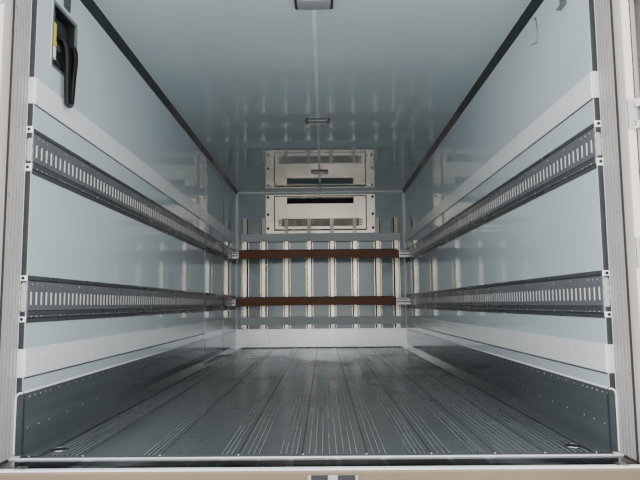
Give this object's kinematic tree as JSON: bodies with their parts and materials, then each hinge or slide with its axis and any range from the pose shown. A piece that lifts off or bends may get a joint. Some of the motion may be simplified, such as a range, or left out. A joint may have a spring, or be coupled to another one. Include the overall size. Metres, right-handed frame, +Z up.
{
  "type": "refrigerated truck body",
  "caption": "Insulated refrigerated truck body with swinging rear doors, side door, slotted lashing rails, plank floor, front rack and nose-mounted cooling unit.",
  "frame": {"origin": "middle of the body's bounding box at the underside of its long sills", "axes": "+X to the body's right, +Y forward to the cab, +Z up"},
  "size_m": [2.89, 6.784, 2.558],
  "materials": {
    "wall_skin": "smooth gelcoat, high gloss",
    "roof_skin": "smooth gelcoat, high gloss",
    "foam_slab": "sealed plywood over foam",
    "plank": "extruded, worn satin",
    "kick": "rolled sheet, anodised",
    "kick_front": "rolled sheet, bright satin",
    "band": "light grey, satin",
    "rail": "dark anodised with bright slotted face",
    "rack": "extruded, satin",
    "bar_wood": "hardwood, varnished",
    "bar_steel": "zinc plated",
    "evap_steel": "brushed stainless sheet",
    "white_trim": "white, semi-gloss",
    "dark_trim": "extruded, dull",
    "polished": "polished stainless sheet",
    "jamb": "extruded PVC, dull",
    "edge_alu": "extruded, satin",
    "sill_steel": "black, satin",
    "drain": "cast, polished rim",
    "door_skin": "white, gloss",
    "seal": "extruded, dull",
    "hinge": "polished stainless",
    "lamp": "clear lens in a dark frame",
    "case": "moulded, gloss",
    "fan": "moulded, dull",
    "guard": "powder coat, black",
    "box": "moulded, light",
    "conduit": "corrugated, dull"
  },
  "bodies": {
    "truck_body": {"long_sill_left": "sill_steel", "long_sill_right": "sill_steel", "cross_members": "sill_steel", "floor_slab": "foam_slab", "floor_planks": "plank", "floor_drains": "drain", "side_wall_right": "wall_skin", "side_wall_left": "wall_skin", "front_wall": "wall_skin", "roof_panel": "roof_skin", "roof_rails": "edge_alu", "roof_rail_front": "edge_alu", "front_corners": "edge_alu", "bottom_rails": "edge_alu", "rear_post_left": "polished", "rear_post_right": "polished", "rear_header": "polished", "rear_sill": "polished", "jamb_frame": "jamb", "kick_plate_right": "kick", "kick_plate_left": "kick", "kick_plate_front": "kick_front", "bumper_bands_left": "band", "bumper_bands_right": "band", "lashing_rails_left": "rail", "lashing_rails_right": "rail", "rack_ribs": "rack", "rack_flats": "rack", "load_bars": "bar_wood", "load_bar_ends": "bar_steel", "evaporator": "evap_steel", "evaporator_cover": "evap_steel", "return_louvres": "evap_steel", "condenser_case": "case", "fan_guards": "guard", "ceiling_lamps": "lamp", "ceiling_coves": "dark_trim", "ceiling_strip": "white_trim", "corner_trims": "white_trim", "service_box": "box", "conduit_loop": "conduit", "hinge_bases": "hinge", "lock_keepers": "hinge"},
    "rear_door_left_leaf": {"rear_door_left": "door_skin", "rear_door_seal_left": "seal", "rear_door_straps_left": "hinge"},
    "rear_door_right_leaf": {"rear_door_right": "door_skin", "rear_door_seal_right": "seal", "rear_door_straps_right": "hinge", "rear_door_lock": "hinge"},
    "side_door_leaf": {"side_door": "door_skin", "side_door_bands": "band", "side_door_rails": "rail", "side_door_kick": "kick", "side_door_gear": "hinge"},
    "fan_left": {"condenser_fan_left": "fan"},
    "fan_right": {"condenser_fan_right": "fan"}
  },
  "joints": [
    {"name": "rear_door_right_hinge", "type": "hinge", "parent": "truck_body", "child": "rear_door_right_leaf", "pos_m": [1.262, -3.377, 1.33], "axis": [0, 0, -1], "range_deg": [0, 270]},
    {"name": "rear_door_left_hinge", "type": "hinge", "parent": "truck_body", "child": "rear_door_left_leaf", "pos_m": [-1.262, -3.377, 1.33], "axis": [0, 0, 1], "range_deg": [0, 270]},
    {"name": "side_door_hinge", "type": "hinge", "parent": "truck_body", "child": "side_door_leaf", "pos_m": [-1.288, 1.852, 1.33], "axis": [0, 0, -1], "range_deg": [0, 180]},
    {"name": "fan_left_spin", "type": "hinge", "parent": "truck_body", "child": "fan_left", "pos_m": [-0.43, 3.346, 2.055], "axis": [0, 1, 0], "continuous": true},
    {"name": "fan_right_spin", "type": "hinge", "parent": "truck_body", "child": "fan_right", "pos_m": [0.43, 3.346, 2.055], "axis": [0, 1, 0], "continuous": true}
  ]
}
